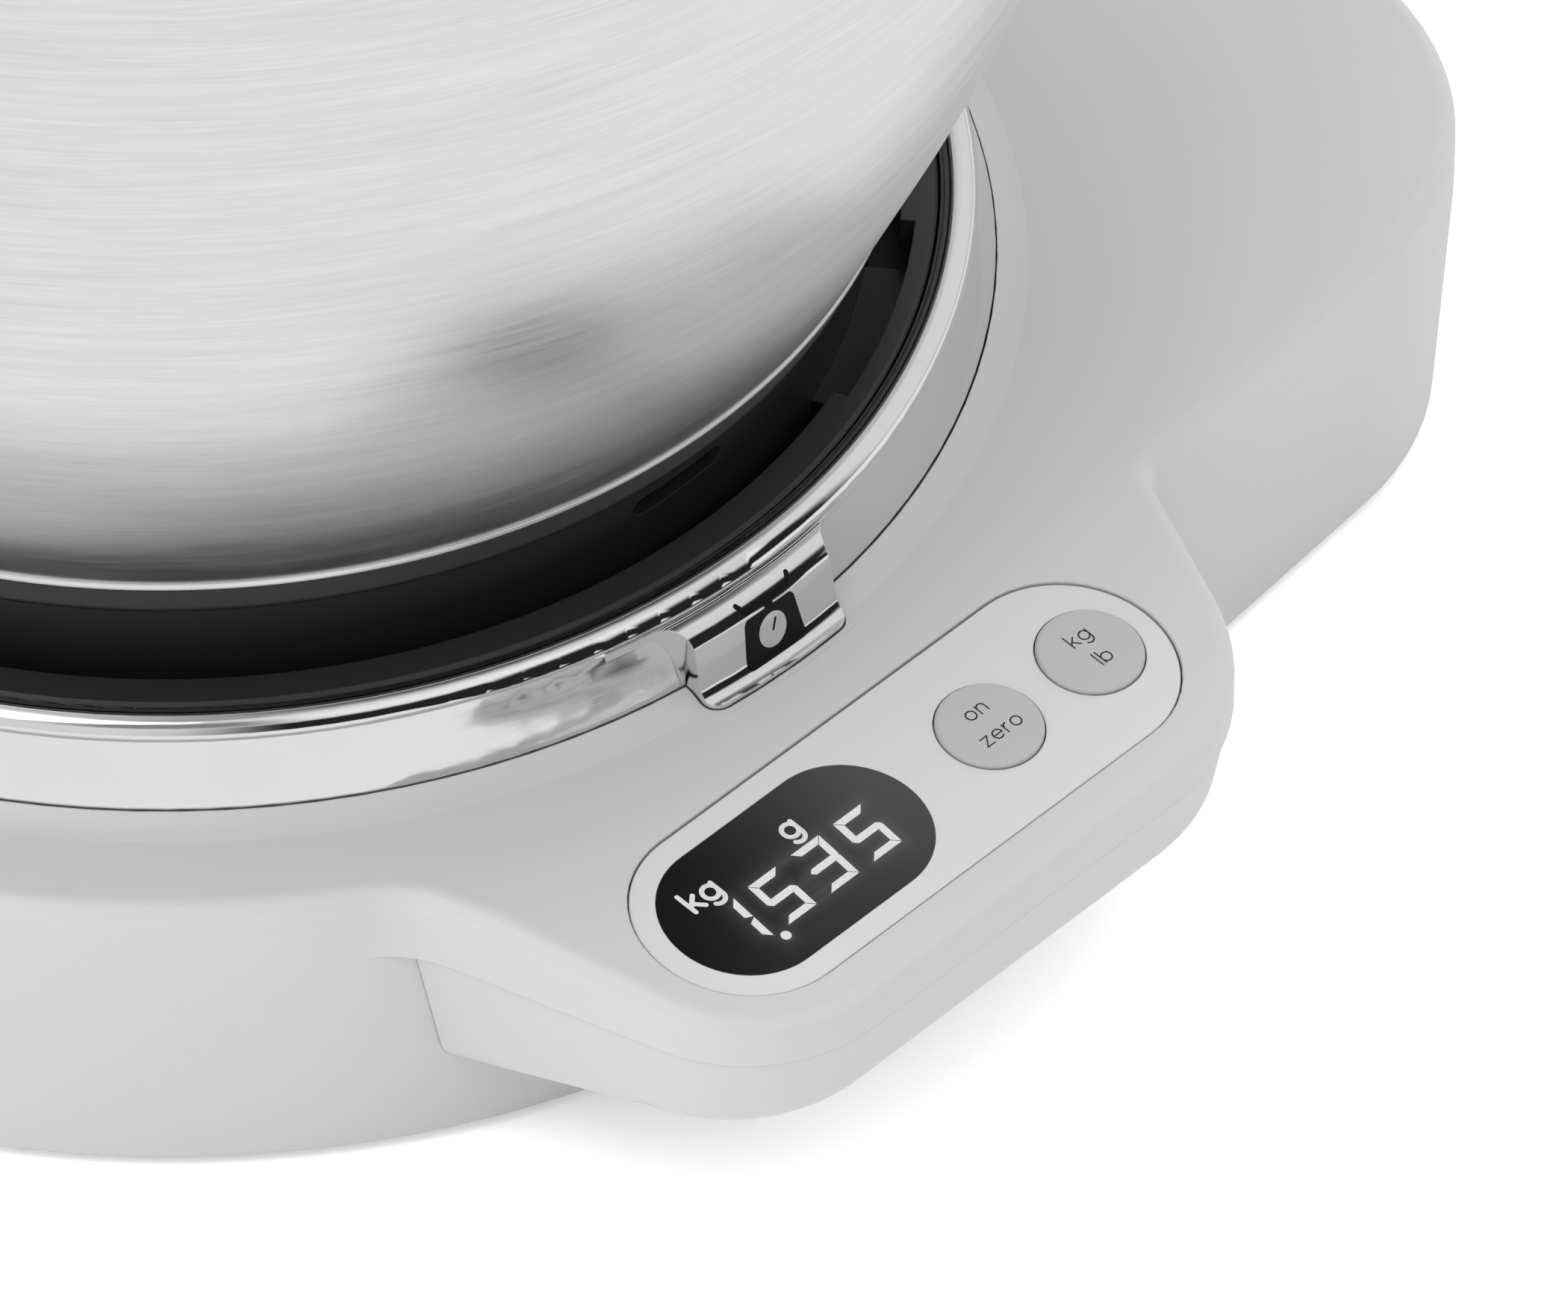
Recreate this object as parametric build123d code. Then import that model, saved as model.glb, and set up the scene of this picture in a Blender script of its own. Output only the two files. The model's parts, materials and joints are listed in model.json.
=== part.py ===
"""Kitchen scale: a weighing base with a control pod, a chrome collar, a black bowl seat and a steel bowl.

Millimetres. Z = 0 is the table, +Z is up and the Z axis is the bowl's axis. The control pod stands out
towards -Y, the round front of the base is at -X and its closed back is at +X.
"""
from build123d import *
from math import acos, atan2, cos, degrees, hypot, radians, sin, tan
import os

os.makedirs("parts", exist_ok=True)

# ---------------------------------------------------------------- driving dimensions
Z_RIM = 60.7          # top of the black seat's rim
WALL = 2.5            # thickness of the moulded shells
GAP = 0.15            # gap between fixed neighbours that were fitted together

# base outline
BASE_R = 122.5        # round front, at the bottom edge
BASE_FLARE = 2.0      # the wall leans out by this much from the bottom edge to the deck
BASE_Z = 2.0          # bottom edge of the wall
DECK_Z = Z_RIM - 13.0
BACK_X = 150.0
BACK_CORNER_R = 45.0
BACK_CORNER = (105.0, 68.5)
DECK_EDGE_R = 2.8

# control pod, which stands out of the base at -Y
POD_LEFT_ROOT = (-70.3, -88.7)
POD_LEFT = (-52.7, -158.2)
POD_RIGHT = (40.7, -158.2)
POD_RIGHT_ROOT = (69.0, -94.3)
POD_CORNER_LEFT_R = 22.0
POD_CORNER_RIGHT_R = 30.0
POD_BLEND_LEFT_R = 15.0
POD_BLEND_RIGHT_R = 4.0
POD_TILT = 7.07       # the pod's top falls towards the user
POD_FOLD_Y = -116.6   # where the deck starts to fall
POD_FOLD_HALF = 4.0   # half-length of the arc that blends the two planes
POD_PART_Z = Z_RIM - 23.8
POD_CHIN_FRONT_Z = Z_RIM - 36.2
POD_CHIN_SLOPE = 11.7
POD_CHIN_DRAFT = 10.0  # the lower shell's sides lean in towards the bottom
POD_CHIN_EDGE_R = 5.5

# control panel, in the pod's own plane: u along X, v up the slope, w out of the plane
PANEL_X = -6.3
PANEL_Y = -136.8
PANEL_HALF = 30.43
PANEL_R = 14.73
PANEL_T = 1.8
PANEL_SINK = 0.3      # the panel lies this much below the deck
PANEL_GAP = 0.22      # groove round the panel
GROOVE_EDGE_R = 0.22
DISPLAY_U = -20.75
DISPLAY_HALF = 9.66
DISPLAY_R = 11.3
BUTTON_U = (15.6, 34.7)
BUTTON_R = 7.2
BUTTON_GAP = 0.18
PANEL_POSTS = ((3.7, 8.6), (3.7, -8.6), (25.2, 8.6), (25.2, -8.6))
BUTTON_TRAVEL = 0.8
BOARD_TOP = -9.4
BOARD_T = 1.6

# chrome collar
COLLAR_R = 100.0
LIP_R = 105.0
COLLAR_FOOT_R = 107.4
COLLAR_FOOT_Z = Z_RIM - 15.1
WALL_TOP_R = 104.56   # the wall under the lip, which flares out towards the foot
WALL_MIDDLE_R = 105.82
TAB_ANGLE = -91.5     # middle of the tab that carries the scale symbol
TAB_SPAN = 13.0
TAB_R = 112.6
TAB_Z = Z_RIM - 12.4
TAB_ROOT = 104.9      # radius of the wall the tab grows out of, just under the lip
TAB_CORNER_R = 2.6
TAB_ROOT_R = 4.6

# black seat, the weighing platform
SEAT_R = 99.7
SEAT_RIM_R = 94.9
SEAT_CAVITY_R = 97.6
SEAT_FLOOR_Z = Z_RIM - 15.7
SEAT_RIM_T = 5.2
ENTRY_R = 96.9
ENTRY_SPAN = 21.0
ENTRY_ANGLES = (-61.5, 58.5, 178.5)
WEIGHING_TRAVEL = 0.5

# twist-lock ring under the bowl
NECK_R = 90.5
LUG_R = 96.4
LUG_SPAN = 17.0
LUG_Z = Z_RIM - 10.6
LUG_T = 4.8
NECK_TOP_Z = Z_RIM + 10.0
RING_FLOOR_Z = SEAT_FLOOR_Z + 1.5
RING_LEDGE_Z = Z_RIM - 1.0

# bowl
FLANGE_R = 94.0
HUB_SCREW_R = 69.0
HUB_SCREW_ANGLES = (30, 150, 270)
BOWL_FOOT_Z = Z_RIM + 15.9
BOWL_T = 1.0
BOWL_PROFILE = (  # radius, height above the rim
    (96.1, 17.7),
    (103.1, 33.0),
    (109.3, 47.0),
    (116.6, 68.0),
    (122.6, 95.0),
    (126.0, 128.0),
    (127.0, 162.0),
)

# load cell and platform carrier
CELL = (80.0, 12.7, 12.7)
CELL_Z = 9.5
CELL_HOLES_FIXED = ((-35.0, 0.0), (-23.0, 0.0))
CELL_HOLES_MOVING = ((23.0, 0.0), (35.0, 0.0))
CARRIER_R = 70.0
CARRIER_Z = 26.0
CARRIER_T = 2.5
SEAT_SCREW_R = 58.0
SEAT_SCREW_ANGLES = (0, 120, 240)

# battery bay
AA_R = 7.1
AA_LEN = 50.0
BAY_X = (64.0, 124.4)
BAY_HALF_Y = 29.2
BAY_TOP_Z = 21.5
DOOR_T = 1.8
DOOR_TRAVEL = 6.0

HOUSING_BOSSES = (
    (-111.0, -27.0),
    (-111.0, 27.0),
    (-38.0, 108.0),
    (64.0, 108.0),
    (64.0, -108.0),
    (138.0, 44.0),
    (138.0, -44.0),
)
POD_BOSSES = ((-52.0, -136.0), (38.0, -146.0), (46.0, -124.0))

FEET = ((-74.0, -66.0), (-74.0, 66.0), (112.0, -62.0), (112.0, 62.0))
FOOT_R = 9.0

# ---------------------------------------------------------------- helpers


def tube(r_out, r_in, z0, z1, at=(0.0, 0.0)):
    """An upright ring, or a disc when r_in is 0."""
    solid = Pos(at[0], at[1], (z0 + z1) / 2) * Cylinder(r_out, z1 - z0)
    if r_in > 0:
        solid -= Pos(at[0], at[1], (z0 + z1) / 2) * Cylinder(r_in, z1 - z0 + 2)
    return solid


def block(x, y, z):
    """A box from three (low, high) pairs."""
    size = [high - low for low, high in (x, y, z)]
    middle = [(high + low) / 2 for low, high in (x, y, z)]
    return Pos(*middle) * Box(*size)


def stadium(half, radius, w0, w1, u=0.0, v=0.0):
    """A stadium slab in the pod's own plane, straight for 2 * half along u."""
    slab = extrude(Plane.XY.offset(w0) * Pos(u, v) * SlotOverall(2 * (half + radius), 2 * radius), w1 - w0)
    return pod_plane() * slab


def in_pod(solid, u=0.0, v=0.0, w=0.0):
    return pod_plane() * Pos(u, v, w) * solid


def pod_plane():
    """The plane of the pod's top: origin at the panel's middle."""
    z = DECK_Z + (PANEL_Y - POD_FOLD_Y) * tan(radians(POD_TILT)) - PANEL_SINK
    normal = (0, -sin(radians(POD_TILT)), cos(radians(POD_TILT)))
    return Location(Plane(origin=(PANEL_X, PANEL_Y, z), x_dir=(1, 0, 0), z_dir=normal))


def polar(radius, angle):
    return (radius * cos(radians(angle)), radius * sin(radians(angle)))


def polar_points(radius, angles):
    return [polar(radius, angle) for angle in angles]


def sector(r_out, angle, span, z0, z1, r_in=0.0):
    """A ring sector seen from above, with radial ends."""
    ring = tube(r_out, r_in, z0, z1)
    reach = 2 * r_out
    low, high = polar(reach, angle - span / 2), polar(reach, angle + span / 2)
    wedge = make_face(Polyline((0, 0), low, high, close=True))
    return ring & extrude(Plane.XY.offset(z0 - 1) * wedge, z1 - z0 + 2)


def pan_screw(length, r_shank=1.4, r_head=2.8, head=2.0):
    """A screw that points up, with its head's underside at the origin."""
    screw = Pos(0, 0, length / 2) * Cylinder(r_shank, length)
    cap = Pos(0, 0, -head / 2) * Cylinder(r_head, head)
    cap = fillet(cap.edges().filter_by(GeomType.CIRCLE).sort_by(Axis.Z)[0], head * 0.4)
    cross = Pos(0, 0, -head) * (Box(r_head * 1.1, 0.6, 1.4) + Box(0.6, r_head * 1.1, 1.4))
    return screw + cap - cross


def save(name, *solids):
    """Writes one node: a single solid or a group of separate ones."""
    shape = solids[0] if len(solids) == 1 else Compound(children=list(solids))
    export_step(shape, f"parts/{name}.step")


# ---------------------------------------------------------------- outlines


def base_face(inset=0.0, radius=BASE_R):
    """The base seen from above: round front, slowly narrowing sides, rounded back corners."""
    r = radius - inset
    rc = BACK_CORNER_R - inset + radius - BASE_R
    cx, cy = BACK_CORNER
    angle = degrees(atan2(cy, cx) + acos((r - rc) / hypot(cx, cy)))
    side, middle = polar(1, angle), polar(1, angle / 2)
    back = cx + rc
    outline = [Line((r * side[0], r * side[1]), (cx + rc * side[0], cy + rc * side[1]))]
    outline += corner_arcs(cx, cy, rc, side, middle)
    outline += [Line((back, cy), (back, -cy))]
    outline += [Line((cx + rc * side[0], -cy - rc * side[1]), (r * side[0], -r * side[1]))]
    outline += [ThreePointArc((r * side[0], -r * side[1]), (-r, 0), (r * side[0], r * side[1]))]
    return make_face(Wire.combine(outline)[0])


def corner_arcs(cx, cy, rc, side, middle):
    """The two back corners, mirror images of each other."""
    arcs = []
    for s in (1, -1):
        start = (cx + rc * side[0], s * (cy + rc * side[1]))
        halfway = (cx + rc * middle[0], s * (cy + rc * middle[1]))
        arcs.append(ThreePointArc(start, halfway, (cx + rc, s * cy)))
    return arcs


def pod_face(inset=0.0):
    """The pod seen from above, with its two round outer corners."""
    outline = make_face(Polyline(POD_LEFT_ROOT, POD_LEFT, POD_RIGHT, POD_RIGHT_ROOT, close=True))
    for corner, radius in ((POD_LEFT, POD_CORNER_LEFT_R), (POD_RIGHT, POD_CORNER_RIGHT_R)):
        outline = fillet(outline.vertices().sort_by_distance(Vector(*corner, 0))[0], radius)
    return offset(outline, -inset) if inset else outline


def deck_face(inset=0.0):
    """Base and pod seen from above, with the inner corners between them rounded."""
    outline = base_face(0, BASE_R + BASE_FLARE) + pod_face()
    left = outline.vertices().sort_by_distance(Vector(-66, -105, 0))[0]
    outline = fillet(left, POD_BLEND_LEFT_R)
    right = outline.vertices().sort_by_distance(Vector(58, -119, 0))[0]
    outline = fillet(right, POD_BLEND_RIGHT_R)
    return offset(outline, -inset) if inset else outline


def tab_face(grow=0.0):
    """The tab on the collar seen from above: rounded outer corners and hollow corners at its root."""
    low, high = polar(1, TAB_ANGLE - TAB_SPAN / 2), polar(1, TAB_ANGLE + TAB_SPAN / 2)
    corner_a, corner_b = (TAB_R * low[0], TAB_R * low[1]), (TAB_R * high[0], TAB_R * high[1])
    arc = ThreePointArc(corner_a, polar(TAB_R, TAB_ANGLE), corner_b)
    outline = make_face(Wire.combine([Line((0, 0), corner_a), arc, Line(corner_b, (0, 0))])[0])
    for corner in (corner_a, corner_b):
        outline = fillet(outline.vertices().sort_by_distance(Vector(*corner, 0))[0], TAB_CORNER_R)
    outline += make_face(Circle(TAB_ROOT).edges())
    for root in ((TAB_ROOT * low[0], TAB_ROOT * low[1]), (TAB_ROOT * high[0], TAB_ROOT * high[1])):
        outline = fillet(outline.vertices().sort_by_distance(Vector(*root, 0))[0], TAB_ROOT_R)
    return offset(outline, grow) if grow else outline


# ---------------------------------------------------------------- base shells


def below_deck(drop=0.0):
    """Everything under the deck: level over the base, then falling towards the pod's outer edge."""
    z = DECK_Z - drop
    fall = tan(radians(POD_TILT))
    far = -200
    outline = Polyline(
        (far, -20), (200, -20), (200, z), (POD_FOLD_Y, z), (far, z + (far - POD_FOLD_Y) * fall), close=True
    )
    section = make_face(outline)
    fold = section.vertices().sort_by_distance(Vector(POD_FOLD_Y, z, 0))[0]
    section = fillet(fold, POD_FOLD_HALF / tan(radians(POD_TILT / 2)))
    return extrude(Plane.YZ * section, 200, both=True)


def base_block(inset, z0):
    """The base as a solid up to above the deck, its wall leaning out towards the top."""
    low = Plane.XY.offset(z0) * base_face(inset)
    high = Plane.XY.offset(POD_PART_Z) * base_face(inset, BASE_R + BASE_FLARE)
    return loft([low, high]) + extrude(high, DECK_Z + 5 - POD_PART_Z)


def top_housing():
    """The white upper shell: wall, deck, the rise around the collar and the upper half of the pod."""
    outer = base_block(0, BASE_Z) + extrude(Plane.XY.offset(POD_PART_Z) * deck_face(), 20)
    outer &= below_deck()
    rim = [e for e in outer.edges() if deck_rim(e)]
    outer = fillet(rim, DECK_EDGE_R)
    inner = base_block(WALL, BASE_Z - 1) + extrude(Plane.XY.offset(POD_PART_Z - 1) * pod_face(WALL), 20)
    inner &= below_deck(WALL)
    shell = outer - inner
    shell += collar_rise()
    shell += stadium(PANEL_HALF, PANEL_R + 2.4, -4.4, -0.6)
    shell -= tube(COLLAR_FOOT_R + GAP, 0, COLLAR_FOOT_Z - GAP, Z_RIM)
    shell -= tube(COLLAR_R + 0.8, 0, DECK_Z - 8, Z_RIM)
    shell -= extrude(Plane.XY.offset(COLLAR_FOOT_Z - GAP) * tab_face(GAP), 20)
    shell -= stadium(PANEL_HALF, PANEL_R + PANEL_GAP, -PANEL_T - GAP, 20)
    shell = fillet([e for e in shell.edges() if pocket_rim(e)], GROOVE_EDGE_R)
    shell -= stadium(PANEL_HALF, PANEL_R - 1.8, -8, 20)
    shell -= pod_passage()
    for x, y in HOUSING_BOSSES:
        shell += tube(4.0, 1.2, 8.0, DECK_Z - 1.0, (x, y))
    for x, y in POD_BOSSES:
        shell += tube(3.2, 1.1, POD_PART_Z - 6.0, POD_PART_Z + 5.0, (x, y))
    return shell


def deck_rim(edge):
    """True for the edges where the deck meets the outer wall."""
    middle = edge @ 0.5
    far = hypot(middle.X, middle.Y) > BASE_R - 1
    level = abs((edge @ 1).Z - (edge @ 0).Z) < 0.3 * edge.length
    return far and level and middle.Z > POD_PART_Z + 1.0


def pocket_rim(edge):
    """True for the deck's edges round the panel's pocket."""
    middle = pod_plane().inverse() * Pos(edge @ 0.5)
    u, v, w = middle.position
    away = hypot(max(abs(u) - PANEL_HALF, 0), v)
    return abs(w - PANEL_SINK) < 0.02 and abs(away - PANEL_R - PANEL_GAP) < 0.05


def collar_rise():
    """The deck's soft rise against the collar, and the shelf that the collar stands on."""
    r = COLLAR_FOOT_R
    top = Z_RIM - 11.2
    rise = make_face(
        Wire.combine([
            Line((r, DECK_Z - 1), (r, top)),
            ThreePointArc((r, top), (r + 2.0, DECK_Z + 0.6), (r + 6.2, DECK_Z)),
            Line((r + 6.2, DECK_Z), (r + 6.2, DECK_Z - 1)),
            Line((r + 6.2, DECK_Z - 1), (r, DECK_Z - 1)),
        ])[0]
    )
    ring = revolve(Plane.XZ * rise, Axis.Z)
    shelf = tube(r + 2.0, COLLAR_R + 0.8, COLLAR_FOOT_Z - 2.6, COLLAR_FOOT_Z - GAP)
    wall = tube(r + 2.2, r, COLLAR_FOOT_Z - 2.6, DECK_Z - 1)
    return ring + shelf + wall


def pod_passage():
    """The opening in the base's wall that leads the wires into the pod."""
    return block((-28, 16), (-126, -118), (POD_PART_Z - 14, POD_PART_Z - 2))


def pod_lower_shell():
    """The lower half of the pod: leaning sides and an underside that slopes back to the base."""
    outer = chin(0.35)
    hollow = chin(0.35 + WALL) & below_deck(0)
    shell = outer - hollow
    shell &= block((-90, 90), (-170, -60), (BASE_Z + 0.4, POD_PART_Z - GAP))
    for x, y in POD_BOSSES:
        shell += tube(4.9, 0, 12.0, POD_PART_Z - 6.0 - GAP, (x, y)) & outer
        shell -= tube(3.4, 0, POD_PART_Z - 6.0 - GAP, POD_PART_Z + 1, (x, y))
        shell -= tube(1.6, 0, 15.0, POD_PART_Z, (x, y))
        shell -= tube(3.1, 0, 10.0, POD_PART_Z - 9.0, (x, y))
    return shell - base_block(-GAP, BASE_Z)


def chin(inset):
    """The pod's lower half as a solid block: leaning sides, a sloping underside, a rounded lower edge."""
    slope = tan(radians(POD_CHIN_SLOPE))
    depth = 40.0
    high = Plane.XY.offset(POD_PART_Z) * pod_face(inset)
    low = Plane.XY.offset(POD_PART_Z - depth) * pod_face(inset + depth * tan(radians(POD_CHIN_DRAFT)))
    cut = Plane(
        origin=(0, POD_LEFT[1], POD_CHIN_FRONT_Z + inset),
        z_dir=(0, slope / hypot(1, slope), 1 / hypot(1, slope)),
        x_dir=(1, 0, 0),
    )
    sides = split(loft([low, high]), bisect_by=cut, keep=Keep.TOP)
    underside = sides.faces().sort_by(Axis.Z)[0]
    return fillet(underside.edges(), POD_CHIN_EDGE_R - inset)


def bottom_cover():
    """The floor of the base, with the battery bay, the load cell's seat and the screw holes."""
    plate = extrude(Plane.XY.offset(BASE_Z) * base_face(WALL + 0.25), WALL)
    bay_y = (-BAY_HALF_Y - 2, BAY_HALF_Y + 2)
    plate += block((BAY_X[0] - 2, BAY_X[1] + 2), bay_y, (BASE_Z, BAY_TOP_Z + 1.6))
    plate -= block(BAY_X, (-BAY_HALF_Y, BAY_HALF_Y), (BASE_Z - 1, BAY_TOP_Z))
    door_x = (BAY_X[0] - 3 - DOOR_TRAVEL, BAY_X[1] + 3)
    plate += block((door_x[0] - 2, door_x[1] + 2), (-BAY_HALF_Y - 5, BAY_HALF_Y + 5), (BASE_Z, BASE_Z + 4.4))
    plate -= block(BAY_X, (-BAY_HALF_Y, BAY_HALF_Y), (BASE_Z - 1, BAY_TOP_Z))
    plate -= block(door_x, (-BAY_HALF_Y - 3, BAY_HALF_Y + 3), (BASE_Z - 1, BASE_Z + DOOR_T + 0.2))
    x0 = -CELL[0] / 2
    plate += block((x0 - 3, x0 + 23), (-11, 11), (BASE_Z, CELL_Z - 1.5))
    for x, y in CELL_HOLES_FIXED:
        plate -= tube(2.1, 0, 0, 20, (x, y))
        plate -= tube(4.2, 0, 0, BASE_Z + 3.4, (x, y))
    for x, y in HOUSING_BOSSES:
        plate += tube(5.5, 0, BASE_Z, 7.8, (x, y))
        plate -= tube(1.7, 0, 0, 10, (x, y))
        plate -= tube(3.2, 0, 0, 5.0, (x, y))
    for x, y in FEET:
        plate += tube(FOOT_R + 2, 0, BASE_Z, BASE_Z + 3.0, (x, y))
        plate -= tube(FOOT_R + GAP, 0, 0, BASE_Z + 1.5, (x, y))
    return plate


def battery_door():
    """The sliding door under the battery bay, with finger ribs and two latch tongues."""
    x0, x1 = BAY_X[0] - 2.8, BAY_X[1] + 2.8
    y = BAY_HALF_Y + 2.8
    door = block((x0, x1), (-y, y), (BASE_Z + 0.1, BASE_Z + DOOR_T))
    door = fillet(door.edges().filter_by(Axis.Z), 2.0)
    for i in range(6):
        at = x0 + 6 + 2.5 * i
        door -= block((at, at + 1.1), (-9, 9), (BASE_Z, BASE_Z + 0.7))
    return door


def feet():
    """Four round rubber feet with a soft lower edge."""
    for i, (x, y) in enumerate(FEET, start=1):
        foot = tube(FOOT_R, 0, 0, BASE_Z + 1.5 - 0.05, (x, y))
        foot = fillet(foot.edges().filter_by(GeomType.CIRCLE).sort_by(Axis.Z)[0], 0.8)
        foot -= tube(2.5, 0, -1, 0.8, (x, y))
        save(f"rubber_foot_{i}", foot)


def cells_and_contacts():
    """Four round cells side by side, with a spring and a plate for each."""
    pitch = (BAY_X[1] - BAY_X[0]) / 4
    springs, plates = [], []
    for i in range(4):
        x = BAY_X[0] + pitch * (i + 0.5)
        flip = 1 if i % 2 else -1
        z = BASE_Z + DOOR_T + 0.6 + AA_R
        body = Pos(x, flip * 0.9, z) * Rot(90, 0, 0) * Cylinder(AA_R, AA_LEN - 1.5)
        body = fillet(body.edges().filter_by(GeomType.CIRCLE), 0.6)
        nub = Pos(x, flip * (AA_LEN / 2 + 0.7), z) * Rot(90, 0, 0) * Cylinder(2.6, 2.0)
        save(f"battery_{i + 1}", body + nub)
        spring_y = -flip * (BAY_HALF_Y - 3.0)
        coil = Helix(pitch=1.1, height=2.6, radius=3.0)
        wire = sweep(Plane(coil @ 0, z_dir=coil % 0) * Circle(0.35), path=coil)
        springs.append(Pos(x, spring_y, z) * Rot(90, 0, 0) * Pos(0, 0, -1.3) * wire)
        plate_y = flip * (BAY_HALF_Y - 0.9)
        plates.append(block((x - 5, x + 5), (plate_y - 0.25, plate_y + 0.25), (z - 5, z + 5)))
        plates.append(block((x - 5, x + 5), (-plate_y - 0.15, -plate_y + 0.15), (z - 5, z + 5)))
    save("battery_springs", *springs)
    save("battery_contact_plates", *plates)


# ---------------------------------------------------------------- weighing mechanism


def load_cell():
    """A single-point aluminium beam with its double-hole flexure."""
    length, width, height = CELL
    beam = Pos(0, 0, CELL_Z + height / 2) * Box(length, width, height)
    for x in (-6.0, 6.0):
        beam -= Pos(x, 0, CELL_Z + height / 2) * Rot(90, 0, 0) * Cylinder(5.0, width + 2)
    beam -= block((-6, 6), (-width, width), (CELL_Z + 4.6, CELL_Z + height - 4.6))
    for x, y in CELL_HOLES_FIXED + CELL_HOLES_MOVING:
        beam -= tube(1.65, 0, 0, 40, (x, y))
    return beam


def load_cell_parts():
    """Spacers above and below the beam, its screws and the overload stop."""
    z_top = CELL_Z + CELL[2]
    below = block((-40, -17), (-10, 10), (CELL_Z - 1.4, CELL_Z - 0.05))
    above = block((17, 40), (-10, 10), (z_top + 0.05, CARRIER_Z - 0.05))
    for x, y in CELL_HOLES_FIXED:
        below -= tube(2.1, 0, 0, 40, (x, y))
    for x, y in CELL_HOLES_MOVING:
        above -= tube(2.1, 0, 0, 40, (x, y))
    save("load_cell_lower_spacer", below)
    save("load_cell_upper_spacer", above)
    screw = pan_screw(12.0, 1.6, 3.4)
    flip = Rot(180, 0, 0)
    save("load_cell_lower_screws", *[Pos(x, y, BASE_Z + 3.3) * screw for x, y in CELL_HOLES_FIXED])
    top = CARRIER_Z + CARRIER_T + 0.05
    save("load_cell_upper_screws", *[Pos(x, y, top) * flip * screw for x, y in CELL_HOLES_MOVING])
    stop_x = 46.0
    head_z = CARRIER_Z - WEIGHING_TRAVEL - 0.1 - 2.0
    save("overload_stop_screw", Pos(stop_x, 0, head_z) * flip * pan_screw(6.0, 1.5, 3.0))
    save("overload_stop_post", tube(4.5, 1.55, BASE_Z + WALL + 0.05, head_z - 4.0, (stop_x, 0)))


def platform_carrier():
    """The stiff aluminium disc on the load cell, which carries the seat."""
    disc = tube(CARRIER_R, 0, CARRIER_Z, CARRIER_Z + CARRIER_T)
    for x, y in CELL_HOLES_MOVING:
        disc -= tube(1.9, 0, 0, 60, (x, y))
    for x, y in polar_points(SEAT_SCREW_R, SEAT_SCREW_ANGLES):
        disc -= tube(1.8, 0, 0, 60, (x, y))
    for angle in (90, 210, 330):
        x, y = polar(34, angle)
        disc -= tube(9.0, 0, 0, 60, (x, y))
    return fillet(disc.edges().filter_by(GeomType.CIRCLE).group_by(SortBy.RADIUS)[-1], 0.5)


def seat():
    """The black bowl seat: a cup with a flat rim, three bayonet entries and an undercut for the lugs."""
    floor = SEAT_FLOOR_Z
    cup = tube(SEAT_R, 0, floor - 2.5, Z_RIM)
    cup -= tube(SEAT_CAVITY_R, 0, floor, Z_RIM - SEAT_RIM_T)
    cup -= tube(SEAT_RIM_R, 0, floor + 1, Z_RIM + 1)
    for angle in ENTRY_ANGLES:
        entry = sector(ENTRY_R, angle, ENTRY_SPAN, Z_RIM - SEAT_RIM_T - 1, Z_RIM + 1)
        cup -= entry
    rim = [e for e in cup.edges().filter_by(GeomType.CIRCLE) if abs(e.radius - SEAT_R) < 0.01]
    cup = chamfer(max(rim, key=lambda e: (e @ 0).Z), 0.5)
    for x, y in polar_points(SEAT_SCREW_R, SEAT_SCREW_ANGLES):
        cup += tube(6.0, 0, CARRIER_Z + CARRIER_T + 0.05, floor - 1, (x, y))
        cup -= tube(1.3, 0, CARRIER_Z, floor - 2.4, (x, y))
    cup += tube(24, 21, floor - 8, floor)
    return cup


def seat_pads():
    """Three thin rubber pads on the seat's floor, under the lock ring."""
    pads = []
    for angle in (0, 120, 240):
        pads.append(sector(92.0, angle, 26, SEAT_FLOOR_Z + 0.02, SEAT_FLOOR_Z + 1.2, r_in=84.0))
    save("seat_pads", *pads)


def seat_screws():
    spots = polar_points(SEAT_SCREW_R, SEAT_SCREW_ANGLES)
    save("seat_screws", *[Pos(x, y, CARRIER_Z - 0.05) * pan_screw(10.0, 1.25) for x, y in spots])


# ---------------------------------------------------------------- bowl and its twist lock


def lock_ring():
    """The black ring that turns under the bowl: three lugs, a grip slot and an inner ledge."""
    ring = tube(NECK_R, 86.9, RING_FLOOR_Z, NECK_TOP_Z - 0.1)
    ring += tube(88, 78.0, RING_LEDGE_Z, RING_LEDGE_Z + 2.2)
    for angle in ENTRY_ANGLES:
        ring += sector(LUG_R, angle, LUG_SPAN, LUG_Z, LUG_Z + LUG_T, r_in=88)
    slot = Rot(90, 0, 0) * extrude(Plane.XY.offset(84) * SlotOverall(16, 2.6), 12)
    ring -= Pos(0, 0, Z_RIM + 4.0) * slot
    return ring


def bowl_base():
    """The black flange under the bowl, with the spigot and hub that the lock ring turns on."""
    flange = tube(FLANGE_R, 0, NECK_TOP_Z + 0.1, BOWL_FOOT_Z - 0.1)
    flange = fillet(flange.edges().filter_by(GeomType.CIRCLE).sort_by(Axis.Z)[0], 1.6)
    flange += tube(86.82, 82.8, RING_LEDGE_Z + 2.4, NECK_TOP_Z + 1)
    flange += tube(77.9, 0, RING_LEDGE_Z - 0.2, NECK_TOP_Z + 1)
    flange -= tube(73.0, 12.0, RING_LEDGE_Z - 1, BOWL_FOOT_Z - 3.0)
    for x, y in polar_points(HUB_SCREW_R, HUB_SCREW_ANGLES):
        flange += tube(5.0, 0, RING_LEDGE_Z - 0.2, BOWL_FOOT_Z - 2, (x, y))
        flange -= tube(1.3, 0, RING_LEDGE_Z - 1, RING_LEDGE_Z + 9, (x, y))
    return flange


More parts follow.
